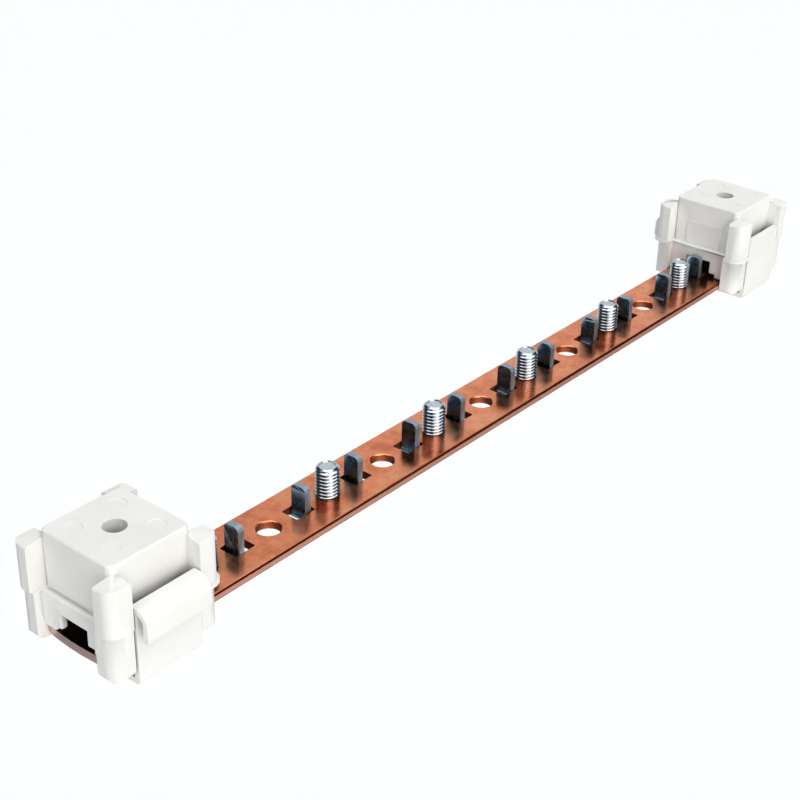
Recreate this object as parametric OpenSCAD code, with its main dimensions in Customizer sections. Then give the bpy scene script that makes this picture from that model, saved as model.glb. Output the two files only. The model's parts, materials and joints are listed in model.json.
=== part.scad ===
// Earth terminal bar: a flat copper bar on two insulating stand-off supports.
// Each terminal is a screw that is threaded through the bar and pulls a steel saddle against it.
// Frame: X along the bar, +Z towards the wall that carries it, origin on the mounting face, midway between
// the two mounting holes. The screw heads and saddle webs are on the side that faces the user, which is -Z.
// The modules are drawn with z = 0 at the back face of the bar, and in_frame() sets them into the frame.

/* [Terminals] */
// Number of clamping terminals
ways = 6; // [2:1:8]
// Distance between neighbouring terminals
pitch = 54.5; // [50:0.5:80]
// Distance from the last terminal to the middle of a support
end_room = 32.25; // [31:0.25:50]
// Diameter of the plain hole for a cable lug, midway between two terminals
lug_hole_d = 8; // [5:0.1:12]
// Width of the chamfer around a lug hole
lug_chamfer = 0.35; // [0.1:0.05:0.8]

/* [Bar] */
// Width of the copper bar
bar_w = 25; // [20:0.5:32]
// Thickness of the copper bar
bar_t = 3; // [2:0.5:5]
// How far the bar runs past the middle of a support, up to the tip of its bowed end
bar_over = 17; // [8:0.5:25]
// Bow of each sheared end of the bar
end_bow = 0.9; // [0.3:0.1:2]

/* [Saddle] */
// Thickness of the saddle strip
saddle_t = 2.5; // [1.5:0.1:3]
// Width of the clamping web of the saddle, across the strip
saddle_w = 12; // [9:0.5:18]
// Distance from the screw to the middle of a leg
leg_at = 12.5; // [12:0.1:13]
// Width of a leg
leg_w = 6; // [4:0.5:8]
// Height of a leg above the bar with the terminal closed
leg_rise = 8.9; // [5:0.1:12]
// Rounding of the two top corners of a leg
leg_corner_r = 1.8; // [0.5:0.1:1.9]
// Inside radius of the bend between web and leg
bend_r = 1.4; // [0.5:0.1:1.6]
// Gap between the leg and the end of its slot on the screw side
slot_gap_in = 1.75; // [1.7:0.05:2.2]
// Gap between the leg and the end of its slot on the far side
slot_gap_out = 4.15; // [4.1:0.05:5]
// Gap between the leg and each side of its slot
slot_gap_side = 0.5; // [0.3:0.05:1]
// Radius of the slot corners
slot_corner_r = 0.6; // [0.2:0.1:1]

/* [Screw] */
// Thread diameter
screw_d = 8; // [6:0.5:8]
// Length under the head
screw_l = 16; // [14:0.5:22]
// Head diameter
head_d = 12.5; // [10:0.5:13]
// Head height
head_h = 3.6; // [2.6:0.1:5]
// Chamfer of the screw tip
tip_chamfer = 1.2; // [0.3:0.1:1.4]
// Chamfer around the head face
head_chamfer = 0.6; // [0.2:0.1:1]
// Width of the driver slot
driver_w = 1.8; // [1.2:0.1:2.4]
// Depth of the driver slot
driver_depth = 1.8; // [1:0.1:2.2]
// Radial clearance of the screw in the bar and in its saddle
screw_fit = 0.05; // [0.02:0.01:0.09]

/* [Support block] */
// Side of the square block
block_w = 29.4; // [28.6:0.2:36]
// Height of the mounting face above the back face of the bar
standoff = 30.5; // [26:0.5:60]
// Wall thickness of the moulding
wall = 2.5; // [1.5:0.1:3]
// Thickness of the mounting face
face_t = 3; // [2:0.5:4]
// Bevel of the upright block corners
block_bevel = 1.5; // [0.5:0.1:2.5]
// Diameter of the mounting hole
mount_d = 7; // [4.5:0.1:8.5]
// Diameter of the boss around the mounting hole
boss_d = 13; // [12.5:0.5:16]
// Length of the boss, from the mounting face down
boss_l = 12; // [5:0.5:14]
// Thickness of the ribs that tie the boss to the walls
rib_t = 1.6; // [1:0.1:2.5]
// Diameter of the ejector marks
mark_d = 5.4; // [3:0.1:6]
// Distance of an ejector mark from the middle, along each side of the block
mark_at = 8.1; // [7:0.1:9.5]
// Depth of the ejector marks
mark_depth = 0.2; // [0.1:0.05:0.5]

/* [Support posts] */
// How far the corner posts stand out from the block
post_out = 5.6; // [4.5:0.1:7]
// Opening between two posts on an end of the support
end_gap = 27.6; // [26.6:0.2:28]
// Opening between two posts on a side of the support
side_gap = 24.6; // [20:0.2:26]
// Distance from the mounting face down to the rim of the post tops
rim_drop = 3.3; // [2:0.1:8]
// Rise of the sloping post tops, from the rim up to the block
cap_rise = 0.5; // [0.3:0.1:1.9]
// Rounding of the outer upright edge of a post
post_r = 4; // [1.5:0.5:4.5]
// Rounding of the rim of the post tops
rim_r = 0.8; // [0.5:0.1:2]
// Height of the parting step above the back face of the bar
step_z = 12; // [11:0.5:13]
// How far the feet of the posts are set in below the parting step
foot_inset = 0.5; // [0.4:0.1:1.5]
// Rounding of the outer upright edge of a foot
foot_r = 4.5; // [2:0.5:5.5]
// How far the feet reach below the bar
foot_drop = 1.2; // [0.2:0.1:2]
// Rounding of the lower end of a foot
foot_end_r = 3; // [1:0.1:3]
// Clearance of the bar between the feet, on each side
bar_fit = 0.2; // [0.1:0.05:0.4]

/* [Support ends] */
// How far the end plates stand out from the block
plate_out = 2.3; // [1.5:0.1:3]
// Width of the notch that clears the screw tails and saddle legs
notch_w = 10.6; // [10:0.2:14]
// Height of the notch
notch_h = 6.6; // [5:0.1:8]
// Width of the shallow relief beside the notch
relief_w = 16; // [15:0.2:20]
// Height of the shallow relief
relief_h = 1.6; // [0.6:0.1:2.5]
// Height of the parting lip on the end that faces the terminals
lip_h = 1; // [0.5:0.1:1.5]
// How far the parting lip stands out
lip_out = 0.9; // [0.3:0.1:1]
// Width of the raised field above the end plate that faces the terminals
field_w = 16; // [8:0.5:22]
// Height of the raised field above the parting step
field_h = 10; // [4:0.5:11]
// How far the raised field stands out
field_out = 0.5; // [0.3:0.1:0.8]

/* [Retainer] */
// Thickness of the retainer walls
clip_t = 2; // [1.4:0.1:2.4]
// Gap between a retainer wall and the post on each side
clip_gap = 0.5; // [0.3:0.05:0.8]
// Height of the retainer walls above the back face of the bar
clip_rise = 18.8; // [17.5:0.1:20]
// Distance from the front face of the bar to the outside of the retainer floor
clip_drop = 4.2; // [3:0.1:6]
// Rounding of the lower outer edges of the retainer
clip_edge_r = 1.6; // [0.5:0.1:1.9]
// Thickness of the three pressure ribs on the floor
press_rib_t = 1.8; // [1:0.1:3]
// Reach of the finger lip, from the outer face of the posts
finger_out = 4.6; // [3.6:0.1:7]
// Height of the free edge of the finger lip above the back face of the bar
finger_z = 9; // [7:0.1:11]
// Thickness of the finger lip
finger_t = 1.7; // [1.2:0.1:2]
// Width of the catch on each side wall of the support
catch_w = 14; // [8:0.5:18]
// Height of the catch
catch_h = 3; // [2:0.1:4]
// How far the catch stands out from the side wall
catch_out = 1.9; // [1.6:0.1:2.2]
// Height of the catch's upper face above the back face of the bar
catch_z = 11; // [9:0.1:11.5]
// Clearance between the catch and the retainer's hook
catch_fit = 0.2; // [0.1:0.05:0.3]

/* [Hidden] */
COPPER = "#b5673a";
ZINC = "#c3c8cd";
STEEL = "#3f4a56";
PLASTIC = "#eceee6";
CUT = 1; // how far a cutting shape runs past the surface that it opens

function screw_x(i) = (i - (ways + 1) / 2) * pitch;

support_x = screw_x(ways) + end_room;
bar_half = support_x + bar_over;
end_r = (bar_w * bar_w / 4 + end_bow * end_bow) / (2 * end_bow);
thread_bore_r = screw_d / 2 + screw_fit;

leg_in = leg_at - saddle_t / 2;
leg_out = leg_at + saddle_t / 2;
bend_out_r = bend_r + saddle_t;
slot_l = slot_gap_in + saddle_t + slot_gap_out;
slot_at = leg_in - slot_gap_in + slot_l / 2;
web_top = -bar_t;

block_half = block_w / 2;
post_half = block_half + post_out;
plate_half = block_half + plate_out;
rim_z = standoff - rim_drop;
foot_half = post_half - foot_inset;
foot_z = -bar_t - foot_drop;
foot_gap = bar_w + 2 * bar_fit;
clip_l = side_gap - 2 * clip_gap;
clip_z = -bar_t - clip_drop;

// ---- small shared shapes ----

module in_frame() {
    translate([0, 0, -standoff])
        children();
}

// What a rounding of radius r takes off the corner at the origin of a shape that fills the third quadrant.
module corner_waste(r) {
    translate([-r, -r])
        difference() {
            square(r + CUT);
            circle(r, $fn = 64);
        }
}

module rounded_rect(x, y, r) {
    difference() {
        square([x, y], center = true);
        for (turn = [0, 1], flip = [0, 1])
            mirror([turn, 0])
                mirror([0, flip])
                    translate([x / 2, y / 2])
                        corner_waste(r);
    }
}

// Draws a Y-Z outline and runs it along X, centred.
module along_x(l) {
    rotate([90, 0, 90])
        linear_extrude(l, center = true)
            children();
}

// Draws an X-Z outline and runs it along Y, centred.
module along_y(l) {
    rotate([90, 0, 0])
        linear_extrude(l, center = true)
            children();
}

module four_corners() {
    for (turn = [0, 1], flip = [0, 1])
        mirror([turn, 0, 0])
            mirror([0, flip, 0])
                children();
}

// ---- copper bar ----

module bar_outline() {
    square([2 * (bar_half - end_bow), bar_w], center = true);
    for (side = [0, 1])
        mirror([side, 0])
            intersection() {
                translate([bar_half - end_r, 0])
                    circle(end_r, $fn = 360);
                translate([bar_half - end_bow - CUT, -bar_w / 2])
                    square([end_bow + 2 * CUT, bar_w]);
            }
}

module lug_hole() {
    translate([0, 0, -bar_t - CUT])
        cylinder(h = bar_t + 2 * CUT, d = lug_hole_d, $fn = 48);
    for (face = [0, 1])
        translate([0, 0, face ? -bar_t : 0])
            mirror([0, 0, face])
                translate([0, 0, -lug_chamfer])
                    cylinder(h = lug_chamfer * 2, d1 = lug_hole_d, d2 = lug_hole_d + 4 * lug_chamfer, $fn = 48);
}

module leg_slot() {
    translate([0, 0, -bar_t - CUT])
        linear_extrude(bar_t + 2 * CUT)
            rounded_rect(slot_l, leg_w + 2 * slot_gap_side, slot_corner_r);
}

module copper_bar() {
    color(COPPER)
        difference() {
            translate([0, 0, -bar_t])
                linear_extrude(bar_t)
                    bar_outline();
            for (i = [1:ways])
                translate([screw_x(i), 0, 0]) {
                    translate([0, 0, -bar_t - CUT])
                        cylinder(h = bar_t + 2 * CUT, r = thread_bore_r, $fn = 48);
                    for (side = [-1, 1])
                        translate([side * slot_at, 0, 0])
                            leg_slot();
                }
            for (i = [1:ways - 1])
                translate([screw_x(i) + pitch / 2, 0, 0])
                    lug_hole();
        }
}

// ---- saddle and screw ----

// Side view of the bent strip: web, two rounded bends and two legs.
module saddle_strip() {
    height = leg_rise - web_top + saddle_t;
    difference() {
        translate([-leg_out, web_top - saddle_t])
            square([2 * leg_out, height]);
        difference() {
            translate([-leg_in, web_top])
                square([2 * leg_in, height]);
            for (side = [0, 1])
                mirror([side, 0])
                    translate([leg_in, web_top])
                        mirror([0, 1])
                            corner_waste(bend_r);
        }
        for (side = [0, 1])
            mirror([side, 0])
                translate([leg_out, web_top - saddle_t])
                    mirror([0, 1])
                        corner_waste(bend_out_r);
    }
}

// End view of the saddle: a wide web with narrower legs that have rounded tops.
module saddle_front() {
    translate([-saddle_w / 2, web_top - saddle_t])
        square([saddle_w, saddle_t]);
    translate([0, (leg_rise + web_top - saddle_t) / 2])
        rounded_rect(leg_w, leg_rise - web_top + saddle_t, leg_corner_r);
}

module saddle(i) {
    color(STEEL)
        translate([screw_x(i), 0, 0])
            difference() {
                intersection() {
                    along_y(saddle_w)
                        saddle_strip();
                    along_x(2 * leg_out)
                        saddle_front();
                }
                translate([0, 0, web_top - saddle_t - CUT])
                    cylinder(h = saddle_t + 2 * CUT, r = thread_bore_r, $fn = 48);
            }
}

// Half section of the screw, from the face of its head up to its chamfered tip.
module screw_section() {
    seat = web_top - saddle_t;
    r = screw_d / 2;
    head_r = head_d / 2;
    polygon([
        [0, seat - head_h],
        [head_r - head_chamfer, seat - head_h],
        [head_r, seat - head_h + head_chamfer],
        [head_r, seat],
        [r, seat],
        [r, seat + screw_l - tip_chamfer],
        [r - tip_chamfer, seat + screw_l],
        [0, seat + screw_l]
    ]);
}

module terminal_screw(i) {
    color(ZINC)
        translate([screw_x(i), 0, 0])
            difference() {
                rotate_extrude($fn = 64)
                    screw_section();
                translate([0, 0, web_top - saddle_t - head_h])
                    cube([head_d + 2 * CUT, driver_w, 2 * driver_depth], center = true);
            }
}

// ---- insulating support ----

// Plan of one corner column, from its inner edges out to a rounded outer edge.
module column_plan(x0, y0, reach, r) {
    difference() {
        translate([x0, y0])
            square([reach - x0, reach - y0]);
        translate([reach, reach])
            corner_waste(r);
    }
}

// Side outline of the post tops: a rounded rim, then a slope up to the block.
module cap_outline() {
    cap_z = rim_z + cap_rise;
    polygon([
        [-post_half, 0],
        [-post_half, rim_z - rim_r],
        [-post_half + rim_r, rim_z],
        [-block_half, cap_z],
        [block_half, cap_z],
        [post_half - rim_r, rim_z],
        [post_half, rim_z - rim_r],
        [post_half, 0]
    ]);
    for (side = [-1, 1])
        translate([side * (post_half - rim_r), rim_z - rim_r])
            circle(rim_r, $fn = 48);
}

module posts() {
    intersection() {
        translate([0, 0, step_z])
            linear_extrude(standoff - step_z)
                four_corners()
                    column_plan(side_gap / 2, end_gap / 2, post_half, post_r);
        along_x(2 * post_half)
            cap_outline();
        along_y(2 * post_half)
            cap_outline();
    }
}

// Side outline of the feet, with rounded lower ends.
module foot_outline() {
    difference() {
        translate([-foot_half, foot_z])
            square([2 * foot_half, step_z - foot_z]);
        for (side = [0, 1])
            mirror([side, 0])
                translate([foot_half, foot_z])
                    mirror([0, 1])
                        corner_waste(foot_end_r);
    }
}

module feet() {
    intersection() {
        translate([0, 0, foot_z])
            linear_extrude(step_z - foot_z)
                four_corners()
                    column_plan(side_gap / 2, foot_gap / 2, foot_half, foot_r);
        along_x(2 * foot_half)
            foot_outline();
        along_y(2 * foot_half)
            foot_outline();
    }
}

module block() {
    linear_extrude(standoff)
        difference() {
            square(block_w, center = true);
            four_corners()
                translate([block_half, block_half])
                    rotate(45)
                        square(block_bevel * sqrt(2), center = true);
        }
}

module end_plates() {
    translate([0, 0, step_z / 2])
        cube([2 * plate_half, foot_gap + 2 * bar_fit, step_z], center = true);
}

// Lip and raised field on the end of the support that faces the terminals, which is +X here.
// The lip runs round both posts and across the end plate between them.
module inner_end_trim() {
    for (side = [0, 1])
        mirror([0, side, 0])
            translate([0, 0, step_z - lip_h])
                linear_extrude(lip_h)
                    column_plan(side_gap / 2, end_gap / 2, post_half + lip_out, post_r + lip_out);
    translate([plate_half, 0, step_z - lip_h / 2])
        cube([2 * lip_out, end_gap, lip_h], center = true);
    translate([block_half, 0, step_z + field_h / 2])
        cube([2 * field_out, field_w, field_h], center = true);
}

// Wedge on a side wall that the retainer's hook snaps over: it slopes in towards its lower end.
module side_catches() {
    for (side = [0, 1])
        mirror([0, side, 0])
            along_x(catch_w)
                polygon([
                    [block_half - CUT, catch_z],
                    [block_half + catch_out, catch_z],
                    [block_half, catch_z - catch_h],
                    [block_half - CUT, catch_z - catch_h]
                ]);
}

module cavity() {
    inner_w = block_w - 2 * wall;
    translate([0, 0, (standoff - face_t - CUT) / 2])
        cube([inner_w, inner_w, standoff - face_t + CUT], center = true);
    translate([0, 0, (step_z - wall - CUT) / 2])
        cube([2 * (plate_half - wall), inner_w, step_z - wall + CUT], center = true);
}

// Opening in both end plates: a shallow relief over the bar and a taller notch in its middle.
module end_notch() {
    along_x(2 * (plate_half + lip_out + CUT)) {
        translate([-relief_w / 2, -CUT])
            square([relief_w, relief_h + CUT]);
        translate([-notch_w / 2, -CUT])
            square([notch_w, notch_h + CUT]);
    }
}

module boss() {
    inner_w = block_w - 2 * wall;
    rib_h = boss_l - face_t;
    translate([0, 0, standoff - boss_l])
        cylinder(h = boss_l, d = boss_d, $fn = 64);
    for (turn = [0, 90])
        rotate(turn)
            translate([0, 0, standoff - face_t - rib_h / 2])
                cube([inner_w + wall, rib_t, rib_h], center = true);
}

module support() {
    difference() {
        union() {
            difference() {
                union() {
                    block();
                    posts();
                    feet();
                    end_plates();
                    inner_end_trim();
                    side_catches();
                }
                cavity();
                end_notch();
            }
            boss();
        }
        translate([0, 0, standoff - boss_l - CUT])
            cylinder(h = boss_l + 2 * CUT, d = mount_d, $fn = 48);
        four_corners()
            translate([mark_at, mark_at, standoff - mark_depth])
                cylinder(h = mark_depth + CUT, d = mark_d, $fn = 48);
    }
}

// ---- snap-on retainer ----

// End view of the U: two walls, a floor and rounded lower edges.
module clip_outline() {
    difference() {
        translate([-post_half, clip_z])
            square([2 * post_half, clip_rise - clip_z]);
        translate([-post_half + clip_t, clip_z + clip_t])
            square([2 * (post_half - clip_t), clip_rise - clip_z]);
        for (side = [0, 1])
            mirror([side, 0])
                translate([post_half, clip_z])
                    mirror([0, 1])
                        corner_waste(clip_edge_r);
    }
}

// Hook at the inside of a wall: flat below, sloping above, so that it rides over the catch.
module hook_outline() {
    inner = post_half - clip_t;
    tip = block_half + 2 * catch_fit;
    hook_z = catch_z + catch_fit;
    polygon([
        [inner + clip_t / 2, hook_z],
        [tip, hook_z],
        [tip, hook_z + clip_t / 2],
        [inner, hook_z + 2 * clip_t],
        [inner + clip_t / 2, hook_z + 2 * clip_t]
    ]);
}

// End view of the finger lip: a quarter arch out of the wall's top edge, then a straight rounded rim.
module finger_outline() {
    arch_z = clip_rise - finger_out;
    translate([-post_half, 0]) {
        intersection() {
            translate([0, arch_z])
                difference() {
                    circle(finger_out, $fn = 96);
                    circle(finger_out - finger_t, $fn = 96);
                }
            translate([-finger_out, arch_z])
                square([finger_out + clip_t / 2, finger_out]);
        }
        translate([-finger_out, finger_z + finger_t / 2])
            square([finger_t, arch_z - finger_z - finger_t / 2]);
        translate([-finger_out + finger_t / 2, finger_z + finger_t / 2])
            circle(finger_t / 2, $fn = 48);
    }
}

module pressure_ribs() {
    rib_l = bar_w - 2 * clip_t;
    rib_h = clip_drop - clip_t;
    for (step = [-1, 0, 1])
        translate([step * (clip_l - press_rib_t) / 2, 0, -bar_t - rib_h / 2])
            cube([press_rib_t, rib_l, rib_h], center = true);
}

module retainer() {
    along_x(clip_l) {
        clip_outline();
        finger_outline();
    }
    for (side = [0, 1])
        mirror([0, side, 0])
            along_x(catch_w)
                hook_outline();
    pressure_ribs();
}

// ---- the two ends: the right one is the left one turned half round ----

module at_left() {
    color(PLASTIC)
        translate([-support_x, 0, 0])
            children();
}

module at_right() {
    color(PLASTIC)
        translate([support_x, 0, 0])
            rotate(180)
                children();
}

in_frame() copper_bar();
in_frame() at_left() support();  // support_left
in_frame() at_right() support();  // support_right
in_frame() at_left() retainer();  // retainer_left
in_frame() at_right() retainer();  // retainer_right
for (i = [1:ways])
    in_frame() saddle(i);
for (i = [1:ways])
    in_frame() terminal_screw(i);
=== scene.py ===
"""Looks of the earth terminal bar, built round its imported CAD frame."""

import json
import math

import bmesh
import bpy
from mathutils import Matrix, Vector


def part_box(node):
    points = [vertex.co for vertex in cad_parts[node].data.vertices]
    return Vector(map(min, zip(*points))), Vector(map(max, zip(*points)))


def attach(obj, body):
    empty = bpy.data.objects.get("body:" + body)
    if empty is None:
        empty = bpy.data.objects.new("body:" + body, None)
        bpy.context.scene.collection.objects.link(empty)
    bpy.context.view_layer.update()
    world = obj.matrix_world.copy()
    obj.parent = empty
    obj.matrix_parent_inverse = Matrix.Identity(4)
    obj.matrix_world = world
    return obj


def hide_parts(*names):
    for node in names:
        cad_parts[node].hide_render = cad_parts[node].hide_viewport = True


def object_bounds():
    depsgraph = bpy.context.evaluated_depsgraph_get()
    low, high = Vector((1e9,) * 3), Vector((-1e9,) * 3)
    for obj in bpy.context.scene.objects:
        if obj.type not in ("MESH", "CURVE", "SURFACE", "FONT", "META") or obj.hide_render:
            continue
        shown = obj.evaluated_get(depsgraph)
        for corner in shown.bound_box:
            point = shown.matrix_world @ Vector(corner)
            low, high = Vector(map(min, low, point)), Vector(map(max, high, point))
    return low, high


MM = 0.001
WAYS = 6
HOLE_FROM_MIDDLE = 168.5 * MM  # fixing holes, from the middle of the bar
THREAD_PITCH = 1.25 * MM
THREAD_DEPTH = 0.68 * MM
THREAD_STEPS = 12  # rows in one turn of thread
THREAD_SIDES = 72
TIP_CHAMFER = 0.95 * MM
TIP_RIM = 0.3 * MM  # a rolled screw has a thin rim round a shallow dish at its tip
TIP_DISH = 0.4 * MM
SCREW_HEAD = 3.6 * MM  # height of a screw's head
FLOOR_DROP = 1000 * MM  # the part is held by its mount, so the floor is far below it

# The photograph's viewpoint: where the camera stands, and how it looks from there.
CAMERA_AT = Vector((-0.3925, -0.2813, 0.2348))
CAMERA_AZIMUTH = math.radians(39.07)
CAMERA_DOWN = math.radians(28.84)
CAMERA_ROLL = math.radians(-1.42)
CAMERA_LENS = 69.2

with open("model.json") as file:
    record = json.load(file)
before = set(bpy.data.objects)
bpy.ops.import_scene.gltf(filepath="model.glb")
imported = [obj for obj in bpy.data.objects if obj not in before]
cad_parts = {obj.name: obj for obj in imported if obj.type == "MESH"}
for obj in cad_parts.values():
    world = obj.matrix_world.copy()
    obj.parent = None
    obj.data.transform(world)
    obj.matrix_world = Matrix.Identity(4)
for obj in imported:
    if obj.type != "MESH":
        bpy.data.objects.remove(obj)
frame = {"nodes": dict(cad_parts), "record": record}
cad_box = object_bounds()
nodes = frame["nodes"]
SCREW_HEAD_FROM = -cad_box[0].z - SCREW_HEAD  # the heads are the lowest things on the part


# ---- materials ----


class Look:
    """A procedural material: a principled shader, with the nodes that vary it."""

    def __init__(self, name, **constants):
        self.material = bpy.data.materials.new(name)
        self.material.use_nodes = True
        self.tree = self.material.node_tree
        self.shader = self.tree.nodes["Principled BSDF"]
        for socket, value in constants.items():
            self.shader.inputs[socket.replace("_", " ")].default_value = value
        coordinates = self.tree.nodes.new("ShaderNodeTexCoord")
        self.place, self.object_normal = coordinates.outputs["Object"], coordinates.outputs["Normal"]

    def node(self, kind, **inputs):
        made = self.tree.nodes.new(kind)
        for socket, value in inputs.items():
            self.feed(value, made.inputs[socket.replace("_", " ")])
        return made

    def feed(self, value, socket):
        if isinstance(value, bpy.types.NodeSocket):
            self.tree.links.new(value, socket)
        else:
            socket.default_value = value

    def noise(self, scale, stretch=(1, 1, 1), detail=4, roughness=0.55):
        """Noise whose grain is 1/scale metres, drawn out along an axis by a stretch below 1."""
        spread = self.node("ShaderNodeMapping", Vector=self.place, Scale=stretch)
        grain = self.node("ShaderNodeTexNoise", Vector=spread.outputs[0], Scale=scale, Detail=detail, Roughness=roughness)
        return grain.outputs["Fac"]

    def ramp(self, value, *stops):
        made = self.node("ShaderNodeValToRGB", Fac=value)
        ends = made.color_ramp.elements
        while len(ends) < len(stops):
            ends.new(0.5)
        for end, (at, colour) in zip(ends, stops):
            end.position = at
            end.color = (*colour, 1) if isinstance(colour, tuple) else (colour, colour, colour, 1)
        return made.outputs["Color"]

    def blend(self, how, share, first, second):
        made = self.tree.nodes.new("ShaderNodeMix")
        made.data_type = "RGBA"
        made.blend_type = how
        self.feed(share, made.inputs["Factor"])
        for value, socket in ((first, made.inputs[6]), (second, made.inputs[7])):
            self.feed((*value, 1) if isinstance(value, tuple) else value, socket)
        return made.outputs[2]

    def facing(self, axis, low, high):
        """1 on the faces that look along an axis, either way, and 0 on those that lie along it."""
        along = self.node("ShaderNodeMath", Value=self.node("ShaderNodeSeparateXYZ", Vector=self.object_normal).outputs[axis])
        along.operation = "ABSOLUTE"
        return self.ramp(along.outputs[0], (low, 0.0), (high, 1.0))

    def beyond(self, axis, low, high):
        """0 nearer to the part's middle than low along an axis, either way, rising to 1 at high."""
        away = self.node("ShaderNodeMath", Value=self.node("ShaderNodeSeparateXYZ", Vector=self.place).outputs[axis])
        away.operation = "ABSOLUTE"
        return self.node("ShaderNodeMapRange", Value=away.outputs[0], From_Min=low, From_Max=high).outputs[0]

    def painted_recess_shade(self, reach, *stops):
        """Painted shade: darker only where the surface is closed in on all sides, as inside the supports."""
        open_sky = self.node("ShaderNodeAmbientOcclusion", Distance=reach)
        return self.ramp(open_sky.outputs["AO"], *stops)

    def colour(self, value):
        self.feed(value, self.shader.inputs["Base Color"])

    def roughness(self, value, low, high):
        spread = self.node("ShaderNodeMapRange", Value=value, To_Min=low, To_Max=high)
        self.feed(spread.outputs[0], self.shader.inputs["Roughness"])

    def bump(self, value, depth, strength=1.0):
        relief = self.node("ShaderNodeBump", Height=value, Distance=depth, Strength=strength)
        self.feed(relief.outputs[0], self.shader.inputs["Normal"])


def copper_look():
    """Rolled copper bar: rolling streaks and tarnished blotches on its faces, duller metal on its shear-cut sides,
    and painted shade in its recesses, on its hole walls, along its long edges and under the supports.
    """
    look = Look("rolled_copper", Metallic=1.0)
    rolled = look.noise(1400, stretch=(0.12, 1, 1), detail=4)
    blotch = look.noise(110, detail=6, roughness=0.66)
    base = look.ramp(blotch, (0.34, (0.70, 0.20, 0.095)), (0.50, (0.91, 0.315, 0.15)), (0.68, (0.98, 0.43, 0.245)))
    streak = look.ramp(rolled, (0.33, 0.93), (0.62, 1.0))
    streaked = look.blend("MULTIPLY", 1.0, base, streak)
    flat = look.facing("Z", 0.06, 0.16)
    # Painted shade: the walls of the holes and slots, nearer the middle than 9 mm, are dark red; the long sides keep
    # the colour of cut copper.
    hole_shade_and_long_side = look.blend("MIX", look.beyond("Y", 9 * MM, 11 * MM), (0.40, 0.11, 0.05), (0.86, 0.43, 0.30))
    sawn = look.blend("MIX", look.facing("X", 0.5, 0.9), (0.86, 0.43, 0.30), (0.96, 0.68, 0.61))
    sides_with_hole_shade = look.blend("MIX", look.beyond("X", 150 * MM, 156 * MM), hole_shade_and_long_side, sawn)
    # Painted shade: a dark line on the rounded long edges, where the top turns down into the side.
    edge_shade_line = look.blend("MIX", look.facing("Z", 0.82, 0.985), (0.20, 0.04, 0.018), streaked)
    faced = look.blend("MIX", look.beyond("Y", 11.5 * MM, 11.8 * MM), streaked, edge_shade_line)
    sided = look.blend("MIX", flat, sides_with_hole_shade, faced)
    # Painted shade in the recesses: round the legs and screws, and inside the supports.
    recess_shaded = look.blend("MULTIPLY", 1.0, sided, look.painted_recess_shade(14 * MM, (0.25, 0.08), (0.8, 1.0)))
    # Painted shade: the top and bottom faces go near black where the supports cover the bar.
    under_cover = look.beyond("X", 150 * MM, 156 * MM)
    cover_shade = look.node("ShaderNodeMath", Value=under_cover)
    cover_shade.operation = "MULTIPLY"
    look.feed(flat, cover_shade.inputs[1])
    look.colour(look.blend("MIX", cover_shade.outputs[0], recess_shaded, (0.035, 0.018, 0.014)))
    rough = look.ramp(blotch, (0.3, 0.13), (0.7, 0.27))
    look.feed(look.blend("MIX", flat, (0.55, 0.55, 0.55), rough), look.shader.inputs["Roughness"])
    look.bump(rolled, 0.015 * MM, 0.35)
    return look.material


def zinc_look():
    """Bright zinc plate on the screws, with painted shade in the roots of their thread."""
    look = Look("bright_zinc", Metallic=1.0)
    cloud = look.noise(700, detail=3)
    plate = look.ramp(cloud, (0.3, (0.56, 0.62, 0.67)), (0.7, (0.71, 0.76, 0.80)))
    # Painted shade in the roots of the thread and other tight hollows.
    look.colour(look.blend("MULTIPLY", 1.0, plate, look.painted_recess_shade(0.9 * MM, (0.38, 0.12), (0.78, 1.0))))
    turned = look.ramp(cloud, (0.3, 0.07), (0.7, 0.17))
    ends = look.blend("MIX", look.facing("Z", 0.9, 0.98), turned, (0.5, 0.5, 0.5))
    in_head = look.beyond("Z", SCREW_HEAD_FROM - 0.2 * MM, SCREW_HEAD_FROM)
    look.feed(look.blend("MIX", in_head, ends, (0.40, 0.40, 0.40)), look.shader.inputs["Roughness"])
    look.bump(look.noise(2600), 0.01 * MM, 0.35)
    return look.material


def steel_look():
    """Blue-grey plated strip of the saddles, cloudy and a little rough, with a painted highlight along its rounded
    edges and painted light on its narrow sides.
    """
    look = Look("dark_steel", Metallic=1.0)
    cloud = look.noise(420, detail=6, roughness=0.6)
    face = look.ramp(cloud, (0.32, (0.13, 0.22, 0.29)), (0.55, (0.19, 0.29, 0.37)), (0.75, (0.30, 0.40, 0.48)))
    edge = look.facing("X", 0.5, 0.95)
    # Painted light: a near-white painted highlight on the rounded edges, and narrow sides painted lighter than the
    # broad faces.
    edge_highlight_and_lit_sides = look.blend("MIX", look.facing("X", 0.08, 0.3), (0.36, 0.42, 0.48), (0.84, 0.88, 0.92))
    look.colour(look.blend("MIX", edge, edge_highlight_and_lit_sides, face))
    rough = look.ramp(cloud, (0.3, 0.20), (0.7, 0.34))
    look.feed(look.blend("MIX", edge, (0.46, 0.46, 0.46), rough), look.shader.inputs["Roughness"])
    look.bump(look.noise(3200), 0.015 * MM, 0.6)
    return look.material


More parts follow.
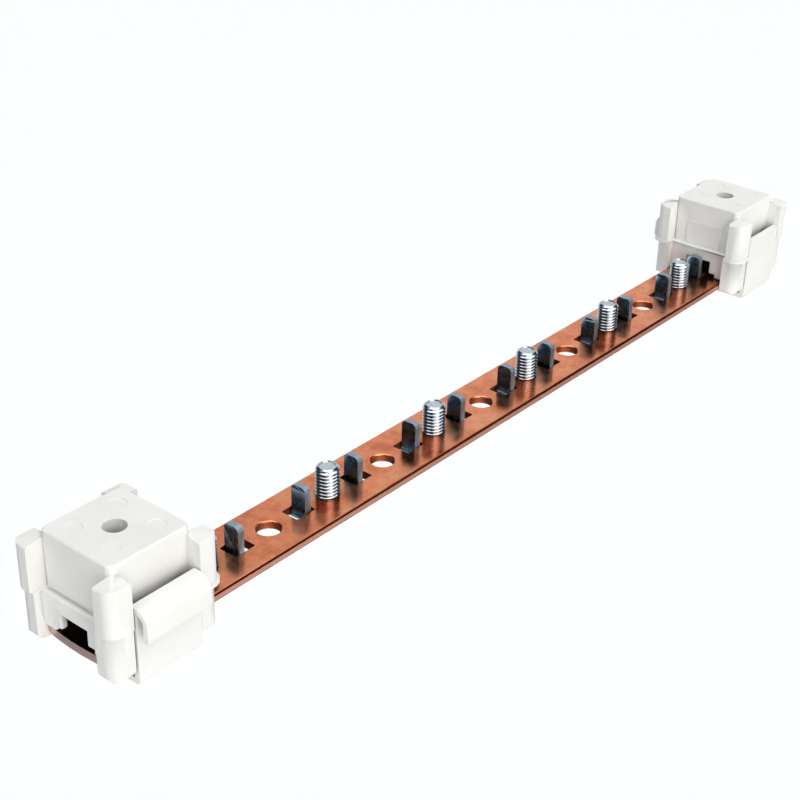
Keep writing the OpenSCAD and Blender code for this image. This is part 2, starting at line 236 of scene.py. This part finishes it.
def plastic_look():
    """Off-white moulded plastic, with the faint unevenness of a moulded skin and painted shade in its deep hollows.
    """
    look = Look("moulded_plastic", Specular_IOR_Level=0.4)
    tone = look.noise(60, detail=3)
    skin = look.ramp(tone, (0.35, (0.83, 0.82, 0.785)), (0.65, (0.87, 0.86, 0.83)))
    # Painted shade deep inside the supports' hollows and narrow gaps.
    look.colour(look.blend("MULTIPLY", 1.0, skin, look.painted_recess_shade(12 * MM, (0.05, 0.05), (0.24, 1.0))))
    look.roughness(look.noise(500), 0.36, 0.52)
    look.bump(look.noise(1500, detail=4), 0.03 * MM, 0.35)
    return look.material


# ---- pieces made from the CAD solids, with rounded edges ----


def body_of(node):
    return next(body for body, held in frame["record"]["behaviour"]["bodies"].items() if node in held)


def corner(edge):
    """How sharply two faces turn at an edge: positive where the edge stands out, 0 where there is no corner."""
    if len(edge.link_faces) != 2:
        return 0.0
    return edge.calc_face_angle_signed(0.0)


def is_broad(edge, area):
    return min(face.calc_area() for face in edge.link_faces) > area


def chains(edges):
    """The edges in groups that meet at a vertex, so that a short edge limits the rounding of its own group alone."""
    left = set(edges)
    for first in edges:
        if first not in left:
            continue
        left.discard(first)
        group, front = [first], [first]
        while front:
            ends = front.pop().verts
            for edge in [e for v in ends for e in v.link_edges if e in left]:
                left.discard(edge)
                group.append(edge)
                front.append(edge)
        yield group


def round_edges(bm, chosen, width, sides):
    for group in list(chains([e for e in bm.edges if chosen(e)])):
        whole = [e for e in group if e.is_valid]
        bmesh.ops.bevel(
            bm, geom=whole, offset=width, segments=sides, profile=0.5, affect="EDGES", clamp_overlap=True, loop_slide=True
        )


def rounded_copy(node, roundings, material, slot):
    """Stands for a CAD node: its own solid, welded into whole faces, with each kind of edge rounded."""
    name = f"moulded_{node}" if slot == "plastic" else f"finished_{node}"
    mesh = bpy.data.meshes.new(name)
    bm = bmesh.new()
    bm.from_mesh(nodes[node].data)
    bmesh.ops.remove_doubles(bm, verts=bm.verts, dist=0.002 * MM)
    bmesh.ops.dissolve_limit(bm, angle_limit=math.radians(0.4), verts=bm.verts, edges=bm.edges)
    for chosen, width, sides in roundings:
        round_edges(bm, chosen, width, sides)
    bm.normal_update()
    for face in bm.faces:
        face.smooth = True
    bm.to_mesh(mesh)
    bm.free()
    mesh.materials.append(material)
    piece = bpy.data.objects.new(name, mesh)
    bpy.context.scene.collection.objects.link(piece)
    normals = piece.modifiers.new("normals", "WEIGHTED_NORMAL")
    normals.keep_sharp = False
    apply_modifiers(piece)
    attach(piece, body_of(node))
    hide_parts(node)
    return piece


def apply_modifiers(piece):
    bpy.context.view_layer.update()
    evaluated = piece.evaluated_get(bpy.context.evaluated_depsgraph_get())
    mesh = bpy.data.meshes.new_from_object(evaluated)
    piece.modifiers.clear()
    piece.data = mesh


# ---- screws, with a real thread ----


def thread_radius(z, turn, major, tip_z):
    """Radius of a right-hand thread at height z and angle turn (in turns), cut down by the tip's chamfer."""
    phase = (z / THREAD_PITCH - turn) % 1.0
    crest = 0.125
    slope = abs(phase - 0.5) * 2  # 1 at the crest, 0 at the root
    height = min(max((slope - 0.18) / (1 - crest - 0.18), 0.0), 1.0)
    radius = major - THREAD_DEPTH * (1 - height)
    return min(radius, major - TIP_CHAMFER + (tip_z - z))


def screw_mesh(name, node):
    low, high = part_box(node)
    centre = (low + high) / 2
    shank = 4.0 * MM
    head = (high.x - low.x) / 2
    head_top = low.z + SCREW_HEAD
    mesh = bpy.data.meshes.new(name)
    bm = bmesh.new()

    def ring(z, radius_at):
        turns = [k / THREAD_SIDES for k in range(THREAD_SIDES)]
        return [
            bm.verts.new((
                centre.x + radius_at(z, t) * math.cos(math.tau * t),
                centre.y + radius_at(z, t) * math.sin(math.tau * t),
                z,
            ))
            for t in turns
        ]

    def join(below, above):
        for k in range(THREAD_SIDES):
            n = (k + 1) % THREAD_SIDES
            bm.faces.new((below[k], below[n], above[n], above[k]))

    rows = round((high.z - head_top) / THREAD_PITCH * THREAD_STEPS)
    rings = [ring(head_top, lambda z, t: shank - THREAD_DEPTH)]
    for r in range(1, rows + 1):
        z = head_top + (high.z - head_top) * r / rows
        rings.append(ring(z, lambda z, t: thread_radius(z - head_top, t, shank, high.z - head_top)))
    for below, above in zip(rings, rings[1:]):
        join(below, above)
    rim = shank - TIP_CHAMFER - TIP_RIM
    for z, radius in ((high.z, rim), (high.z - TIP_DISH, rim - TIP_RIM / 2)):
        rings.append(ring(z, lambda z, t: radius))
        join(rings[-2], rings[-1])
    bm.faces.new(rings[-1])

    outline = [(head_top, shank - THREAD_DEPTH), (head_top, head - 0.25 * MM), (head_top - 0.25 * MM, head)]
    outline += [(low.z + 0.6 * MM, head), (low.z + 0.2 * MM, head - 0.2 * MM), (low.z, head - 0.6 * MM)]
    last = rings[0]
    for z, radius in outline[1:]:
        made = ring(z, lambda z, t: radius)
        join(made, last)
        last = made
    bm.faces.new(list(reversed(last)))
    bm.normal_update()
    bm.to_mesh(mesh)
    bm.free()
    return mesh


def build_screw(number, material):
    node = f"terminal_screw_{number}"
    mesh = screw_mesh(f"threaded_screw_{number}", node)
    mesh.materials.append(material)
    screw = bpy.data.objects.new(f"threaded_screw_{number}", mesh)
    bpy.context.scene.collection.objects.link(screw)
    for face in mesh.polygons:
        face.use_smooth = True
    edge = mesh.set_sharp_from_angle
    edge(angle=math.radians(38))
    low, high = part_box(node)
    slot = bpy.data.meshes.new(f"driver_slot_{number}")
    bm = bmesh.new()
    bmesh.ops.create_cube(bm, size=1.0)
    bmesh.ops.scale(bm, vec=(20 * MM, 1.8 * MM, 3.6 * MM), verts=bm.verts)
    bmesh.ops.translate(bm, vec=((low.x + high.x) / 2, (low.y + high.y) / 2, low.z), verts=bm.verts)
    bm.to_mesh(slot)
    bm.free()
    cutter = bpy.data.objects.new(f"driver_slot_{number}", slot)
    bpy.context.scene.collection.objects.link(cutter)
    cut = screw.modifiers.new("slot", "BOOLEAN")
    cut.object = cutter
    cut.solver = "EXACT"
    apply_modifiers(screw)
    bpy.data.objects.remove(cutter)
    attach(screw, node)
    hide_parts(node)


# ---- stage, light and camera ----


def build_stage():
    mesh = bpy.data.meshes.new("floor")
    half = 15.0
    z = cad_box[0].z - FLOOR_DROP
    corners = [(-half, -half, z), (half, -half, z), (half, half, z), (-half, half, z)]
    mesh.from_pydata(corners, [], [(0, 1, 2, 3)])
    floor = bpy.data.objects.new("floor", mesh)
    bpy.context.scene.collection.objects.link(floor)
    look = Look("pale_floor", Roughness=0.9, Specular_IOR_Level=0.1)
    look.colour((0.98, 0.975, 0.975, 1))
    mesh.materials.append(look.material)
    floor.visible_glossy = False  # bright metal mirrors the studio's glows and gloom, not the floor


# The studio's glows, in degrees: azimuth, height, half angle of full light, half angle where it ends; strength, tint.
GLOWS = (
    (-106, 7, 20, 42, 2.40, (1.0, 0.985, 0.95)),
    (-128, -30, 24, 48, 1.2, (1.0, 0.99, 0.97)),
    (-90, 84, 32, 48, 1.60, (1.0, 0.99, 0.97)),
    (-118, 45, 8, 34, 0.4, (1.0, 0.99, 0.97)),
    (150, 62, 8, 32, 0.4, (0.92, 0.97, 1.0)),
    (39, 2, 24, 54, 0.76, (1.0, 0.985, 0.96)),
    (-48, 14, 6, 24, 0.3, (1.0, 0.985, 0.96)),
    (0, -88, 24, 56, 0.6, (0.95, 0.97, 1.0)),
    (-40, -52, 8, 30, 0.45, (1.0, 0.98, 0.96)),
    (141, -36, 8, 34, 0.13, (0.75, 0.9, 1.0)),
)
GLOOM = (0.030, 0.050, 0.075)


def build_light():
    """A studio on the world itself: soft glows with dark between them, and a pale backdrop for the camera."""
    world = bpy.data.worlds.new("studio")
    world.use_nodes = True
    world.cycles.sampling_method = "NONE"
    bpy.context.scene.world = world
    tree = world.node_tree
    place = tree.nodes.new("ShaderNodeTexCoord").outputs["Generated"]
    light = None
    for azimuth, height, full, end, strength, tint in GLOWS:
        facing = tree.nodes.new("ShaderNodeVectorMath")
        facing.operation = "DOT_PRODUCT"
        facing.inputs[1].default_value = heading(math.radians(azimuth), math.radians(height))
        tree.links.new(place, facing.inputs[0])
        fade = tree.nodes.new("ShaderNodeMapRange")
        fade.interpolation_type = "SMOOTHSTEP"
        tree.links.new(facing.outputs["Value"], fade.inputs["Value"])
        fade.inputs["From Min"].default_value = math.cos(math.radians(end))
        fade.inputs["From Max"].default_value = math.cos(math.radians(full))
        fade.inputs["To Max"].default_value = strength
        glow = tree.nodes.new("ShaderNodeVectorMath")
        glow.operation = "MULTIPLY_ADD"
        glow.inputs[0].default_value = tint
        tree.links.new(fade.outputs["Result"], glow.inputs[1])
        if light is None:
            glow.inputs[2].default_value = GLOOM
        else:
            tree.links.new(light, glow.inputs[2])
        light = glow.outputs["Vector"]
    seen = tree.nodes.new("ShaderNodeMix")
    seen.data_type = "RGBA"
    seen.inputs[7].default_value = (1.0, 1.0, 1.0, 1)
    tree.links.new(light, seen.inputs[6])
    tree.links.new(tree.nodes.new("ShaderNodeLightPath").outputs["Is Camera Ray"], seen.inputs["Factor"])
    tree.links.new(seen.outputs[2], tree.nodes["Background"].inputs["Color"])
    bpy.context.scene.view_settings.view_transform = "Standard"


def heading(azimuth, height):
    return Vector((math.cos(height) * math.cos(azimuth), math.cos(height) * math.sin(azimuth), math.sin(height)))


def build_camera():
    forward = heading(CAMERA_AZIMUTH, -CAMERA_DOWN)
    right = forward.cross(Vector((0, 0, 1))).normalized()
    upward = right.cross(forward)
    turned = Matrix.Rotation(CAMERA_ROLL, 3, forward)
    right, upward = turned @ right, turned @ upward
    data = bpy.data.cameras.new("camera")
    data.lens = CAMERA_LENS
    data.sensor_width = 36
    camera = bpy.data.objects.new("camera", data)
    camera.matrix_world = Matrix.Translation(CAMERA_AT) @ Matrix((right, upward, -forward)).transposed().to_4x4()
    bpy.context.scene.collection.objects.link(camera)
    bpy.context.scene.camera = camera


def stands_out(edge):
    return corner(edge) > math.radians(30)


def soft_rim(edge):
    """The broad outer edges, without the rim of the fixing hole."""
    middle = (edge.verts[0].co + edge.verts[1].co) / 2
    from_hole = math.hypot(abs(middle.x) - HOLE_FROM_MIDDLE, middle.y)
    return stands_out(edge) and is_broad(edge, 4 * MM * MM) and from_hole > 5 * MM


def long_rim(edge):
    return stands_out(edge) and edge.calc_length() > 100 * MM


copper, zinc, steel, plastic = copper_look(), zinc_look(), steel_look(), plastic_look()
rounded_copy("copper_bar", [(long_rim, 0.8 * MM, 5), (stands_out, 0.12 * MM, 2)], copper, "copper")
for side in ("left", "right"):
    for piece in ("support", "retainer"):
        rounded_copy(
            f"{piece}_{side}", [(soft_rim, 0.8 * MM, 4), (stands_out, 0.15 * MM, 2)], plastic, "plastic"
        )
for way in range(1, WAYS + 1):
    rounded_copy(f"saddle_{way}", [(soft_rim, 0.35 * MM, 3), (stands_out, 0.12 * MM, 2)], steel, "steel")
    build_screw(way, zinc)
build_stage()
build_light()
build_camera()
